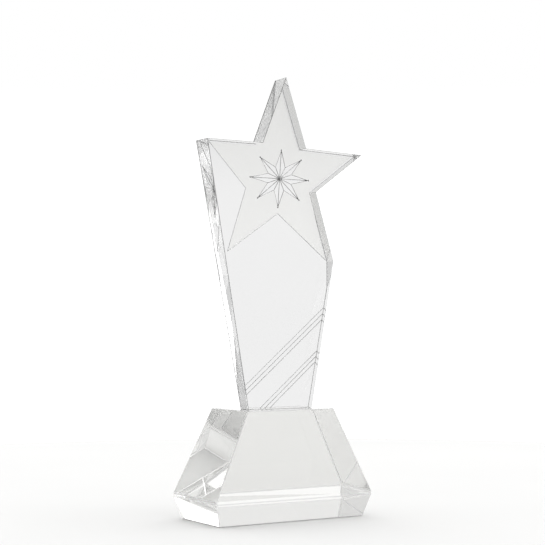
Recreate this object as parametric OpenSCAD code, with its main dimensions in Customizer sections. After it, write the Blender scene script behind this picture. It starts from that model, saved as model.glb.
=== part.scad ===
// Star trophy: a crystal plaque, whose top is a five-pointed star, bonded upright on a faceted
// crystal base. Millimetres, +Z up, X across the plaque, the front facing -Y.
// The origin is the centre of the base's underside.

/* [Base] */
// Width of the base at its widest line, the girdle
base_w = 100; // [90:1:120]
// Depth of the base at its girdle
base_d = 51; // [46:1:60]
// Height of the base block
base_h = 61; // [52:1:70]
// Width of the base's top face
base_top_w = 56; // [52:1:64]
// Depth of the base's top face
base_top_d = 41; // [24:1:44]
// Height of the undercut facets below the girdle
undercut_h = 12.2; // [8:0.1:16]
// How far the undercut facets run in under the girdle
undercut_inset = 3.5; // [2:0.5:6]
// Height of the narrow upright land at the girdle
land_h = 1.8; // [1:0.1:3]

/* [Bond] */
// Thickness of the clear cured adhesive between plaque and base
bond_t = 0.2; // [0.1:0.05:0.4]
// How far the adhesive stays back from the plaque's lower edges
bond_margin = 0.4; // [0.2:0.1:1]

/* [Plaque] */
// Thickness of the plaque
plaque_t = 12.5; // [10:0.5:20]

/* [Engraving] */
// Depth of the sandblasted star on the back face
frost_depth = 0.15; // [0.1:0.05:0.3]
// Width of an engraved line at the surface
line_w = 0.4; // [0.3:0.05:0.6]
// Depth of an engraved line's V
line_depth = 0.3; // [0.2:0.05:0.5]
// Length of the rosette's upright rays, centre to tip
rosette_r = 16.5; // [12:0.5:18]
// Distance from the rosette's centre to the corners between its rays
rosette_inner_r = 7.2; // [5:0.1:9]
// How much wider than tall the rosette is
rosette_stretch = 1.18; // [1:0.01:1.25]
// How far the upright rays lean right, as a share of their height
rosette_lean = 0.076; // [0:0.002:0.1]
// Radius of the round dimple at each ray's tip
dimple_r = 0.55; // [0.4:0.05:0.8]
// Radius of the round dimple at the rosette's centre
hub_r = 0.9; // [0.7:0.05:1.2]
// Slope of the diagonal line bands, degrees above level
band_slope = 40; // [35:1:45]

/* [Hidden] */
eps = 0.05;
rays = 8;
plaque_z = base_h + bond_t;
back_y = plaque_t / 2;

// Corners of the plaque, [x, height above the plaque's foot], anticlockwise. The column's sides
// are cut slightly askew, so its front and back outlines differ by a few millimetres.
notch_right = [26, 123.4];
notch_left = [-9.5, 149.7];
column_front = [
    [-19.4, 0],      // left foot
    [22.3, 0],       // right foot
    [37.8, 84],      // right shoulder, the star's lower right tip
    notch_right,
    notch_left,
    [-45, 149.7],    // squared end of the left arm
];
column_back = [
    [-17.3, 0],
    [24.8, 0],
    [38, 69],        // the back edge runs upright for a while under the shoulder
    [38, 84],
    notch_right,
    notch_left,
    [-45.6, 149.7],
];
star_head = [
    [0, 112],        // inside the column, so that the two overlap
    notch_right,
    [57.9, 146.8],   // tip of the right arm
    [19.5, 148.2],   // notch above the right arm
    [6.1, 188.3],    // apex
    notch_left,
];

// Corners of the engraved star, the same way round from the lower left tip
star_points = [
    [-28.3, 88],     // lower left tip
    [4.6, 110.6],    // notch between the lower tips
    [37.3, 84.6],    // lower right tip
    [26.3, 124.2],   // notch under the right arm
    [55.6, 146.2],   // tip of the right arm
    [19.2, 147.7],   // notch above the right arm
    [6.1, 186.5],    // apex
    [-9, 149.1],     // notch above the left arm
    [-40, 149.1],    // tip of the left arm
    [-16.4, 124.2],  // notch under the left arm
];
// Edges of the star that are drawn as engraved lines, because no edge of the plaque marks them
star_lines = [[8, 9], [9, 0], [0, 1], [1, 2]];
// The rosette's centre, which is also the star's
rosette_at = [6, 130.7];
// Size of the sandblasted field against the star: it stops just short of the engraved lines
field_scale = 0.98;
// Heights at which the six diagonal lines cross the plaque's upright centre line
band_heights = [27.2, 24.25, 21.3, 6.2, 3.5, 0.8];
band_reach = 60;

function ray_point(r, turn) =
    rosette_at + r * [rosette_stretch * sin(turn) + rosette_lean * cos(turn), cos(turn)];
function ray_turn(k) = k * 360 / rays;

star_field = [for (p = star_points) rosette_at + field_scale * (p - rosette_at)];

// Outline of the rosette: a tip and an inner corner for each ray
rosette_outline = [for (k = [0 : rays - 1], half = [0, 1])
    ray_point(half == 0 ? rosette_r : rosette_inner_r, ray_turn(k + half / 2))];

// A thin upright plate of the given outline, its near face at y
module plate(outline, y, thickness) {
    translate([0, y + thickness, 0])
        rotate([90, 0, 0])
            linear_extrude(thickness)
                polygon(outline);
}

module slab() {
    hull() {
        plate(column_front, -plaque_t / 2, eps);
        plate(column_back, plaque_t / 2 - eps, eps);
    }
    plate(star_head, -plaque_t / 2, plaque_t);
}

// A V-shaped groove in the back face from point a to point b
module groove(a, b) {
    run = b - a;
    rim = line_w / 2 * (1 + eps / line_depth);
    translate([a[0], back_y, a[1]])
        rotate([0, -atan2(run[1], run[0]), 0])
            rotate([90, 0, 90])
                linear_extrude(norm(run))
                    polygon([[-line_depth, 0], [eps, -rim], [eps, rim]]);
}

module dimple(at, r) {
    translate([at[0], back_y, at[1]])
        sphere(r, $fn = 24);
}

// Sandblasted star, with the rosette's rays left clear
module frosted_field() {
    translate([0, back_y + eps, 0])
        rotate([90, 0, 0])
            linear_extrude(frost_depth + eps)
                difference() {
                    polygon(star_field);
                    polygon(rosette_outline);
                }
}

// Each ray is a long kite from the centre to its tip, with a line down its middle
module rosette_lines() {
    for (k = [0 : rays - 1]) {
        tip = ray_point(rosette_r, ray_turn(k));
        corner = ray_point(rosette_inner_r, ray_turn(k + 0.5));
        groove(ray_point(rosette_inner_r, ray_turn(k - 0.5)), tip);
        groove(corner, tip);
        groove(rosette_at, corner);
        groove(rosette_at, tip);
        dimple(tip, dimple_r);
    }
    dimple(rosette_at, hub_r);
}

module diagonal_lines() {
    for (h = band_heights) {
        rise = band_reach * tan(band_slope);
        groove([-band_reach, h - rise], [band_reach, h + rise]);
    }
}

module star_plaque() {
    color("white")
        translate([0, 0, plaque_z])
            difference() {
                slab();
                frosted_field();
                for (pair = star_lines) groove(star_points[pair[0]], star_points[pair[1]]);
                rosette_lines();
                diagonal_lines();
            }
}

module bond_film() {
    left = max(column_front[0][0], column_back[0][0]) + bond_margin;
    right = min(column_front[1][0], column_back[1][0]) - bond_margin;
    depth = plaque_t - 2 * bond_margin;
    color("lightcyan")
        translate([left, -depth / 2, base_h])
            cube([right - left, depth, bond_t]);
}

// Half of the base's outline seen square on, from its half widths at top, girdle and underside
function base_profile(top, girdle) = [
    [girdle - undercut_inset, 0],
    [girdle, undercut_h],
    [girdle, undercut_h + land_h],
    [top, base_h],
];
function both_sides(half) = concat(half, [for (k = [len(half) - 1 : -1 : 0]) [-half[k][0], half[k][1]]]);

module base_block() {
    color("gainsboro")
        intersection() {
            translate([0, base_d, 0])
                rotate([90, 0, 0])
                    linear_extrude(2 * base_d)
                        polygon(both_sides(base_profile(base_top_w / 2, base_w / 2)));
            translate([-base_w, 0, 0])
                rotate([90, 0, 90])
                    linear_extrude(2 * base_w)
                        polygon(both_sides(base_profile(base_top_d / 2, base_d / 2)));
        }
}

star_plaque();
bond_film();
base_block();
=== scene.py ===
"""Star trophy: polished crystal plaque with a sandblasted star, bonded on a faceted crystal base."""

import math

import bmesh
import bpy
from mathutils import Matrix, Vector


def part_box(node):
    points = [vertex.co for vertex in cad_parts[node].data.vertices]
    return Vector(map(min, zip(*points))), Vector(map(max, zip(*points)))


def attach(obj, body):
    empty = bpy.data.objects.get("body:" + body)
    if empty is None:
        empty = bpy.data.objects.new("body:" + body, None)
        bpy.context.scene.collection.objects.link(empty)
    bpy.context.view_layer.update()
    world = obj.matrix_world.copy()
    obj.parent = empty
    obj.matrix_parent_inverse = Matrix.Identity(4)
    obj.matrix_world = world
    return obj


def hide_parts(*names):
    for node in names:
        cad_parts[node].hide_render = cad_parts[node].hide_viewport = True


MM = 0.001

# ---------------------------------------------------------------- frame and sizes, in millimetres

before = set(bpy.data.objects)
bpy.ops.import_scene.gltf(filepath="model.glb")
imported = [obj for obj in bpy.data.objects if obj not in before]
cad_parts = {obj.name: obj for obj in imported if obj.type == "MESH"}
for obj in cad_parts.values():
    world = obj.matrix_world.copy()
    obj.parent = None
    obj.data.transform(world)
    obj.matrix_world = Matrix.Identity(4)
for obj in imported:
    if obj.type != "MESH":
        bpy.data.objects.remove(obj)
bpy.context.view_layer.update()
plaque_low, plaque_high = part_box("star_plaque")
base_low, base_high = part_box("base_block")
film_low, film_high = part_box("bond_film")
foot = plaque_low.z / MM
front_y = plaque_low.y / MM
back_y = plaque_high.y / MM

# Outlines of the plaque, [x, height above its foot], anticlockwise from the left foot
NOTCH_RIGHT = (26, 123.4)
NOTCH_LEFT = (-9.5, 149.7)
STAR_TOP = [(57.9, 146.8), (19.5, 148.2), (6.1, 188.3)]
FRONT_OUTLINE = [(-19.4, 0), (22.3, 0), (37.8, 84), NOTCH_RIGHT, *STAR_TOP, NOTCH_LEFT, (-45, 149.7)]
BACK_OUTLINE = [(-17.3, 0), (24.8, 0), (38, 69), (38, 84), NOTCH_RIGHT, *STAR_TOP, NOTCH_LEFT, (-45.6, 149.7)]
KNEE = 2  # the back outline's corner that the front outline doesn't have

# The engraved star, anticlockwise from its lower left tip
STAR_POINTS = [
    (-28.3, 88), (4.6, 110.6), (37.3, 84.6), (26.3, 124.2), (55.6, 146.2),
    (19.2, 147.7), (6.1, 186.5), (-9, 149.1), (-40, 149.1), (-16.4, 124.2),
]
STAR_LINES = [(8, 9), (9, 0), (0, 1), (1, 2)]
STAR_CENTRE = Vector((6, 130.7))
FIELD_SCALE = 0.98
FROST_DEPTH = 0.15
LINE_WIDTH = 0.4
LINE_DEPTH = 0.3
RAYS = 8
ROSETTE_R = 16.5
ROSETTE_INNER_R = 7.2
ROSETTE_STRETCH = 1.18
ROSETTE_LEAN = 0.076
DIMPLE_R = 0.55
HUB_R = 0.9
BAND_SLOPE = math.radians(40)
BAND_HEIGHTS = (27.2, 24.25, 21.3, 6.2, 3.5, 0.8)
BAND_REACH = 60
OVERCUT = 0.05  # how far a cutter stands out of the back face

# Ground flats on the edges, tinted dark as painted shade along them. The plaque's grinding runs a little way
# onto its side faces too;
# the strip at the back is wider than a real one, so that its painted shade shows the outline against the
# backdrop.
PLAQUE_CHAMFER = 0.22
PLAQUE_ARRIS = 0.1
PLAQUE_BACK_ARRIS = 1.3
BASE_CHAMFER = 0.4

# The base block's half widths above its underside
BASE_TOP = Vector((28, 20.5))
UNDERCUT_INSET = 3.5
UNDERCUT_H = 12.2
LAND_H = 1.8

# The bond film is drawn a hair thinner than its gap, with a rounded rim
BOND_GAP = 0.02
BOND_RIM = 0.05

# Material slots of the plaque and the base
# EDGE is the slot of the dark edge tint, which is painted shade
CRYSTAL, EDGE, UNDERSIDE = 0, 1, 2

# Optics shared by the crystal and its ground faces
CRYSTAL_IOR = 1.5
ADHESIVE_IOR = 1.48

# The camera: position in metres, heading from +Y towards +X, rise and roll in degrees, lens in mm
CAMERA_AT = (-0.4042, -0.671, 0.1018)
CAMERA_AZIMUTH = 31.08
CAMERA_RISE = 2.64
CAMERA_ROLL = -0.18
LENS = 91.1

# The studio, in metres and in multiples of white
FLOOR_RADIUS = 0.6
FLOOR_Z = -0.0002
BACKDROP_AZIMUTH = 31.08
BACKDROP_EDGES = (0.6, 0.93)  # cosines from the backdrop's middle where it fades in
ROOM_FRONT = 0.7
ROOM_SIDE = 0.85
BACKDROP = 1.2
BACKDROP_HIGH = 1.0
# Softboxes: azimuth and elevation in degrees, half width, half height, brightness
SOFTBOXES = [
    (108, 12, 0.5, 0.3, 2.4),
    (31, 75, 0.6, 0.5, 1.4),
    (-63, 5, 0.35, 0.35, 1.0),
]


# ---------------------------------------------------------------- materials

def new_material(name):
    material = bpy.data.materials.new(name)
    material.use_nodes = True
    tree = material.node_tree
    tree.nodes.clear()
    output = tree.nodes.new("ShaderNodeOutputMaterial")
    shader = tree.nodes.new("ShaderNodeBsdfPrincipled")
    tree.links.new(shader.outputs["BSDF"], output.inputs["Surface"])
    return material, tree, shader


def noise(tree, scale, detail=3, roughness=0.5):
    where = tree.nodes.new("ShaderNodeTexCoord")
    node = tree.nodes.new("ShaderNodeTexNoise")
    node.inputs["Scale"].default_value = scale
    node.inputs["Detail"].default_value = detail
    node.inputs["Roughness"].default_value = roughness
    tree.links.new(where.outputs["Object"], node.inputs["Vector"])
    return node.outputs["Fac"]


def ramp(tree, source, stops):
    node = tree.nodes.new("ShaderNodeValToRGB")
    elements = node.color_ramp.elements
    while len(elements) < len(stops):
        elements.new(0.5)
    for element, (place, color) in zip(elements, stops):
        element.position = place
        element.color = (*color, 1)
    tree.links.new(source, node.inputs["Fac"])
    return node.outputs["Color"]


def bump(tree, shader, source, strength, distance):
    node = tree.nodes.new("ShaderNodeBump")
    node.inputs["Strength"].default_value = strength
    node.inputs["Distance"].default_value = distance
    tree.links.new(source, node.inputs["Height"])
    tree.links.new(node.outputs["Normal"], shader.inputs["Normal"])


def crystal(name, tint_low, tint_high):
    """Polished crystal, tinted grey against the bright backdrop, with the faintest waviness and streaks."""
    material, tree, shader = new_material(name)
    shader.inputs["Transmission Weight"].default_value = 1
    shader.inputs["Roughness"].default_value = 0
    shader.inputs["IOR"].default_value = CRYSTAL_IOR
    tint = ramp(tree, noise(tree, 14), [(0.3, tint_low), (0.7, tint_high)])
    tree.links.new(tint, shader.inputs["Base Color"])
    bump(tree, shader, noise(tree, 30, detail=1), 0.02, 0.0005)
    return material


def frosted(name):
    """The sandblasted star: rough, fine-grained glass."""
    material, tree, shader = new_material(name)
    shader.inputs["Transmission Weight"].default_value = 1
    shader.inputs["IOR"].default_value = CRYSTAL_IOR
    grain = noise(tree, 3500, detail=4, roughness=0.7)
    tint = ramp(tree, grain, [(0.3, (0.7, 0.7, 0.68)), (0.7, (0.74, 0.74, 0.72))])
    tree.links.new(tint, shader.inputs["Base Color"])
    shader.inputs["Roughness"].default_value = 0.3
    bump(tree, shader, grain, 0.2, 0.00005)
    return material


def ground_glass_painted_shade(name, dark, light):
    """Ground glass tinted dark so that it lets little light through: painted shade on edge flats, dimples and
    the walls of the V-cut lines.
    """
    material, tree, shader = new_material(name)
    shader.inputs["Transmission Weight"].default_value = 1
    shader.inputs["IOR"].default_value = CRYSTAL_IOR
    shader.inputs["Roughness"].default_value = 0.45
    grain = noise(tree, 2500, detail=3, roughness=0.7)
    tint = ramp(tree, grain, [(0.3, (dark,) * 3), (0.7, (light,) * 3)])
    tree.links.new(tint, shader.inputs["Base Color"])
    return material


def ground_flat(name):
    """The base's sandblasted underside: milky, and barely clear."""
    material, tree, shader = new_material(name)
    shader.inputs["Transmission Weight"].default_value = 0.1
    shader.inputs["IOR"].default_value = CRYSTAL_IOR
    shader.inputs["Roughness"].default_value = 0.5
    grain = noise(tree, 2500, detail=3, roughness=0.7)
    tint = ramp(tree, grain, [(0.3, (0.96, 0.96, 0.95)), (0.7, (0.99, 0.99, 0.98))])
    tree.links.new(tint, shader.inputs["Base Color"])
    bump(tree, shader, grain, 0.2, 0.00005)
    return material


def adhesive(name):
    material, tree, shader = new_material(name)
    shader.inputs["Transmission Weight"].default_value = 1
    shader.inputs["IOR"].default_value = ADHESIVE_IOR
    shader.inputs["Roughness"].default_value = 0.02
    tint = ramp(tree, noise(tree, 300), [(0.3, (0.97, 0.97, 0.95)), (0.7, (0.99, 0.99, 0.98))])
    tree.links.new(tint, shader.inputs["Base Color"])
    return material


plaque_crystal = crystal("plaque_crystal", (0.735, 0.735, 0.735), (0.745, 0.745, 0.745))
base_crystal = crystal("base_crystal", (0.82, 0.82, 0.807), (0.83, 0.83, 0.817))
frosted_crystal = frosted("frosted_crystal")
ground_underside = ground_flat("ground_underside")
# Edge flats: dark tints as painted shade along the edges, darker on the plaque than on the base
plaque_edge_painted_shade = ground_glass_painted_shade("plaque_edge_painted_shade", 0.06, 0.1)
base_edge_painted_shade = ground_glass_painted_shade("base_edge_painted_shade", 0.6, 0.7)
# Cut lines and dimples: dark tints as painted shade in the cuts, nearly black in the rosette lines and
# dimples
engraved_line_painted_shade = ground_glass_painted_shade("engraved_line_painted_shade", 0.15, 0.22)
band_line_painted_shade = ground_glass_painted_shade("band_line_painted_shade", 0.06, 0.1)
rosette_line_painted_shade = ground_glass_painted_shade("rosette_line_painted_shade", 0.003, 0.006)
dimple_wall_painted_shade = ground_glass_painted_shade("dimple_wall_painted_shade", 0.005, 0.01)
bond_adhesive = adhesive("bond_adhesive")


# ---------------------------------------------------------------- mesh helpers

def link_mesh(name, bm, *materials):
    bmesh.ops.recalc_face_normals(bm, faces=bm.faces)
    mesh = bpy.data.meshes.new(name)
    bm.to_mesh(mesh)
    bm.free()
    for material in materials:
        mesh.materials.append(material)
    piece = bpy.data.objects.new(name, mesh)
    bpy.context.scene.collection.objects.link(piece)
    return piece


def finish_piece(piece, node):
    """Takes a piece built in millimetres to metres, and puts it in the frame in place of a CAD node."""
    piece.data.transform(Matrix.Scale(MM, 4))
    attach(piece, "root")
    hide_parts(node)


def upright(point, y):
    """A point of an outline, [x, height above the plaque's foot], placed in the frame."""
    return Vector((point[0], y, foot + point[1]))


def chamfer(bm, width, material_index, sharp, above=-1):
    """Breaks every sharp edge with a narrow ground flat in the given material slot (here the dark edge tint,
    painted shade), except those that lie no higher than above.
    """
    edges = [
        e for e in bm.edges
        if e.calc_face_angle(0) > sharp and max(v.co.z for v in e.verts) > above
    ]
    bmesh.ops.bevel(bm, geom=edges, offset=width, segments=1, affect="EDGES",
                    clamp_overlap=True, material=material_index)


def side_faces(bm):
    """The still polished faces that look sideways, up or down."""
    return [f for f in bm.faces if abs(f.normal.y) < 0.3 and f.material_index == CRYSTAL]


def arris(bm, width, back_width, material_index):
    """Borders each side face with a narrow dull strip, wider at the back, in the given material slot: the
    dark edge tint, painted shade.
    """
    inset = bmesh.ops.inset_region(bm, faces=side_faces(bm), thickness=width, use_even_offset=True)
    for face in inset["faces"]:
        face.material_index = material_index
    limit = back_y - back_width
    cut_geometry = list({part for f in side_faces(bm) for part in [f, *f.edges, *f.verts]})
    bmesh.ops.bisect_plane(bm, geom=cut_geometry, plane_co=(0, limit, 0), plane_no=(0, 1, 0))
    for face in side_faces(bm):
        if face.calc_center_median().y > limit:
            face.material_index = material_index


def slab_mesh():
    """The plaque's body: its front and back outlines joined by nearly square side faces."""
    bm = bmesh.new()
    front = [bm.verts.new(upright(p, front_y)) for p in FRONT_OUTLINE]
    back = [bm.verts.new(upright(p, back_y)) for p in BACK_OUTLINE]
    bm.faces.new(front)
    bm.faces.new(list(reversed(back)))
    partner = back[:KNEE] + back[KNEE + 1:]
    for k in range(len(front)):
        a, b = front[k], front[(k + 1) % len(front)]
        c, d = partner[(k + 1) % len(front)], partner[k]
        if k == KNEE - 1:
            knee = back[KNEE]
            bm.faces.new((a, b, knee))
            bm.faces.new((a, knee, d))
            bm.faces.new((b, c, knee))
        else:
            bm.faces.new((a, b, d))
            bm.faces.new((b, c, d))
    bmesh.ops.recalc_face_normals(bm, faces=bm.faces)
    chamfer(bm, PLAQUE_CHAMFER, EDGE, math.radians(20), above=foot + 0.1)
    arris(bm, PLAQUE_ARRIS, PLAQUE_BACK_ARRIS, EDGE)
    return bm


def prism(name, outline, depth, material):
    """A cutter from just outside the back face to the given depth inside it."""
    bm = bmesh.new()
    near = [bm.verts.new(upright(p, back_y - depth)) for p in outline]
    far = [bm.verts.new(upright(p, back_y + OVERCUT)) for p in outline]
    count = len(outline)
    bm.faces.new(near)
    bm.faces.new(list(reversed(far)))
    for k in range(count):
        bm.faces.new((near[k], near[(k + 1) % count], far[(k + 1) % count], far[k]))
    return link_mesh(name, bm, material)


def groove(name, a, b, material):
    """A V-shaped cutter along the line from a to b on the back face."""
    a, b = Vector(a), Vector(b)
    along = (b - a).normalized()
    side = Vector((-along.y, along.x)) * (LINE_WIDTH / 2) * (1 + OVERCUT / LINE_DEPTH)
    bm = bmesh.new()
    rings = []
    for end in (a, b):
        rings.append([
            bm.verts.new(upright(end, back_y - LINE_DEPTH)),
            bm.verts.new(upright(end + side, back_y + OVERCUT)),
            bm.verts.new(upright(end - side, back_y + OVERCUT)),
        ])
    bm.faces.new(rings[0])
    bm.faces.new(list(reversed(rings[1])))
    for k in range(3):
        bm.faces.new((rings[0][k], rings[0][(k + 1) % 3], rings[1][(k + 1) % 3], rings[1][k]))
    return link_mesh(name, bm, material)


def dimple(name, at, radius):
    bm = bmesh.new()
    bmesh.ops.create_uvsphere(bm, u_segments=16, v_segments=10, radius=radius,
                              matrix=Matrix.Translation(upright(at, back_y)))
    return link_mesh(name, bm, dimple_wall_painted_shade)


def cut(body, cutter):
    """Takes the cutter out of the body for good; the new faces keep the cutter's material."""
    modifier = body.modifiers.new("cut", "BOOLEAN")
    modifier.operation = "DIFFERENCE"
    modifier.solver = "MANIFOLD"
    modifier.material_mode = "TRANSFER"
    modifier.object = cutter
    graph = bpy.context.evaluated_depsgraph_get()
    result = bpy.data.meshes.new_from_object(body.evaluated_get(graph), depsgraph=graph)
    body.modifiers.remove(modifier)
    spent = body.data
    body.data = result
    bpy.data.meshes.remove(spent)
    bpy.data.objects.remove(cutter)


# ---------------------------------------------------------------- the pieces

def ray_point(radius, turn):
    angle = turn * math.tau / RAYS
    across = ROSETTE_STRETCH * math.sin(angle) + ROSETTE_LEAN * math.cos(angle)
    return STAR_CENTRE + radius * Vector((across, math.cos(angle)))


def build_plaque():
    plaque = link_mesh("plaque", slab_mesh(), plaque_crystal, plaque_edge_painted_shade)
    field_outline = [STAR_CENTRE + FIELD_SCALE * (Vector(p) - STAR_CENTRE) for p in STAR_POINTS]
    field = prism("field", field_outline, FROST_DEPTH, frosted_crystal)
    rosette_outline = [ray_point(r, k + turn) for k in range(RAYS)
                       for r, turn in ((ROSETTE_R, 0), (ROSETTE_INNER_R, 0.5))]
    cut(field, prism("clear_rays", rosette_outline, FROST_DEPTH + 1, frosted_crystal))
    cut(plaque, field)
    for start, end in STAR_LINES:
        cut(plaque, groove("line", STAR_POINTS[start], STAR_POINTS[end], engraved_line_painted_shade))
    for k in range(RAYS):
        tip = ray_point(ROSETTE_R, k)
        corner = ray_point(ROSETTE_INNER_R, k + 0.5)
        cut(plaque, groove("line", ray_point(ROSETTE_INNER_R, k - 0.5), tip, rosette_line_painted_shade))
        cut(plaque, groove("line", corner, tip, rosette_line_painted_shade))
        cut(plaque, groove("line", STAR_CENTRE, corner, rosette_line_painted_shade))
        cut(plaque, groove("line", STAR_CENTRE, tip, rosette_line_painted_shade))
        cut(plaque, dimple("dimple", tip, DIMPLE_R))
    cut(plaque, dimple("dimple", STAR_CENTRE, HUB_R))
    rise = BAND_REACH * math.tan(BAND_SLOPE)
    for height in BAND_HEIGHTS:
        low, high = (-BAND_REACH, height - rise), (BAND_REACH, height + rise)
        cut(plaque, groove("line", low, high, band_line_painted_shade))
    finish_piece(plaque, "star_plaque")


def build_base():
    girdle = Vector((base_high.x - base_low.x, base_high.y - base_low.y)) / (2 * MM)
    inset = Vector((UNDERCUT_INSET, UNDERCUT_INSET))
    levels = [
        (girdle - inset, 0),
        (girdle, UNDERCUT_H),
        (girdle, UNDERCUT_H + LAND_H),
        (BASE_TOP, base_high.z / MM),
    ]
    bm = bmesh.new()
    rings = []
    for half, z in levels:
        corners = [(-half.x, -half.y), (half.x, -half.y), (half.x, half.y), (-half.x, half.y)]
        rings.append([bm.verts.new((x, y, z)) for x, y in corners])
    bm.faces.new(rings[0])
    bm.faces.new(rings[-1])
    for low, high in zip(rings, rings[1:]):
        for k in range(4):
            bm.faces.new((low[k], low[(k + 1) % 4], high[(k + 1) % 4], high[k]))
    bmesh.ops.recalc_face_normals(bm, faces=bm.faces)
    chamfer(bm, BASE_CHAMFER, EDGE, math.radians(10))
    base = link_mesh("base", bm, base_crystal, base_edge_painted_shade, ground_underside)
    for face in base.data.polygons:
        if face.normal.z < -0.99:
            face.material_index = UNDERSIDE
    finish_piece(base, "base_block")


def build_bond():
    """The cured adhesive."""
    low = film_low / MM + Vector((0, 0, BOND_GAP))
    high = film_high / MM - Vector((0, 0, BOND_GAP))
    middle = (low + high) / 2
    size = high - low
    bm = bmesh.new()
    bmesh.ops.create_cube(bm, size=1, matrix=Matrix.Translation(middle) @ Matrix.Diagonal((*size, 1)))
    rim = [e for e in bm.edges if abs(e.verts[0].co.z - e.verts[1].co.z) < BOND_GAP]
    bmesh.ops.bevel(bm, geom=rim, offset=BOND_RIM, segments=3, profile=0.5, affect="EDGES")
    film = link_mesh("bond", bm, bond_adhesive)
    finish_piece(film, "bond_film")


build_plaque()
build_base()
build_bond()


# ---------------------------------------------------------------- studio

def build_floor():
    bm = bmesh.new()
    bmesh.ops.create_circle(bm, cap_ends=True, segments=96, radius=FLOOR_RADIUS)
    bmesh.ops.translate(bm, verts=bm.verts, vec=(0, 0, FLOOR_Z))
    material, tree, shader = new_material("floor")
    tint = ramp(tree, noise(tree, 3), [(0.3, (0.67, 0.67, 0.665)), (0.7, (0.69, 0.69, 0.685))])
    tree.links.new(tint, shader.inputs["Base Color"])
    shader.inputs["Roughness"].default_value = 0.9
    link_mesh("floor", bm, material)


def math_node(tree, operation, *values):
    """A Math node; each value is a number or another node's output."""
    node = tree.nodes.new("ShaderNodeMath")
    node.operation = operation
    for socket, value in zip(node.inputs, values):
        if isinstance(value, (int, float)):
            socket.default_value = value
        else:
            tree.links.new(value, socket)
    return node.outputs[0]


def fade(tree, value, start, end):
    """0 at start, 1 at end, smooth between them."""
    node = tree.nodes.new("ShaderNodeMapRange")
    node.interpolation_type = "SMOOTHSTEP"
    node.inputs["From Min"].default_value = start
    node.inputs["From Max"].default_value = end
    tree.links.new(value, node.inputs["Value"])
    return node.outputs["Result"]


def heading(azimuth, elevation=0):
    """The direction at an azimuth in degrees from +Y towards +X, and an elevation in degrees."""
    turn, rise = math.radians(azimuth), math.radians(elevation)
    return Vector((math.sin(turn) * math.cos(rise), math.cos(turn) * math.cos(rise), math.sin(rise)))


def along(tree, direction, axis):
    node = tree.nodes.new("ShaderNodeVectorMath")
    node.operation = "DOT_PRODUCT"
    node.inputs[1].default_value = axis
    tree.links.new(direction, node.inputs[0])
    return node.outputs["Value"]


def softbox(tree, direction, azimuth, elevation, half_width, half_height, soft=0.08):
    """How much of a soft-edged rectangular light the studio shows in a direction, 0 to 1."""
    ahead = heading(azimuth, elevation)
    across = Vector((ahead.y, -ahead.x, 0)).normalized()
    above = across.cross(ahead)
    side = math_node(tree, "ABSOLUTE", along(tree, direction, across))
    rise = math_node(tree, "ABSOLUTE", along(tree, direction, above))
    wide = fade(tree, side, half_width + soft, half_width - soft)
    high = fade(tree, rise, half_height + soft, half_height - soft)
    facing = fade(tree, along(tree, direction, ahead), 0, 0.01)
    return math_node(tree, "MULTIPLY", math_node(tree, "MULTIPLY", wide, high), facing)


def build_world():
    """A pale studio: a bright backdrop, less bright higher up, a greyer room, and softboxes."""
    world = bpy.data.worlds.new("studio")
    bpy.context.scene.world = world
    world.use_nodes = True
    tree = world.node_tree
    tree.nodes.clear()
    output = tree.nodes.new("ShaderNodeOutputWorld")
    background = tree.nodes.new("ShaderNodeBackground")
    direction = tree.nodes.new("ShaderNodeTexCoord").outputs["Generated"]
    facing = along(tree, direction, heading(BACKDROP_AZIMUTH))
    room = math_node(tree, "MULTIPLY", fade(tree, facing, -0.6, 0.5), ROOM_SIDE - ROOM_FRONT)
    behind = fade(tree, facing, *BACKDROP_EDGES)
    backdrop = math_node(tree, "MULTIPLY", behind, BACKDROP - ROOM_SIDE)
    rise = along(tree, direction, Vector((0, 0, 1)))
    dimming = math_node(tree, "MULTIPLY", fade(tree, rise, 0.1, 0.18), BACKDROP_HIGH - BACKDROP)
    glow = math_node(tree, "ADD", math_node(tree, "ADD", room, backdrop), ROOM_FRONT)
    glow = math_node(tree, "ADD", glow, math_node(tree, "MULTIPLY", dimming, behind))
    for azimuth, elevation, half_width, half_height, brightness in SOFTBOXES:
        light = softbox(tree, direction, azimuth, elevation, half_width, half_height)
        glow = math_node(tree, "ADD", glow, math_node(tree, "MULTIPLY", light, brightness))
    background.inputs["Color"].default_value = (1, 1, 1, 1)
    tree.links.new(glow, background.inputs["Strength"])
    tree.links.new(background.outputs["Background"], output.inputs["Surface"])


def build_camera():
    ahead = heading(CAMERA_AZIMUTH, CAMERA_RISE)
    azimuth, roll = math.radians(CAMERA_AZIMUTH), math.radians(CAMERA_ROLL)
    across = Vector((math.cos(azimuth), -math.sin(azimuth), 0))
    above = across.cross(ahead)
    right = across * math.cos(roll) + above * math.sin(roll)
    up = above * math.cos(roll) - across * math.sin(roll)
    data = bpy.data.cameras.new("camera")
    data.sensor_width = 36
    data.lens = LENS
    data.clip_start = 0.01
    camera = bpy.data.objects.new("camera", data)
    bpy.context.scene.collection.objects.link(camera)
    axes = Matrix((right, up, -ahead)).transposed().to_4x4()
    camera.matrix_world = Matrix.Translation(CAMERA_AT) @ axes
    bpy.context.scene.camera = camera


build_floor()
build_world()
build_camera()
scene = bpy.context.scene
scene.view_settings.view_transform = "Standard"
scene.cycles.max_bounces = 32
scene.cycles.transmission_bounces = 32
scene.cycles.glossy_bounces = 16
scene.cycles.use_denoising = True
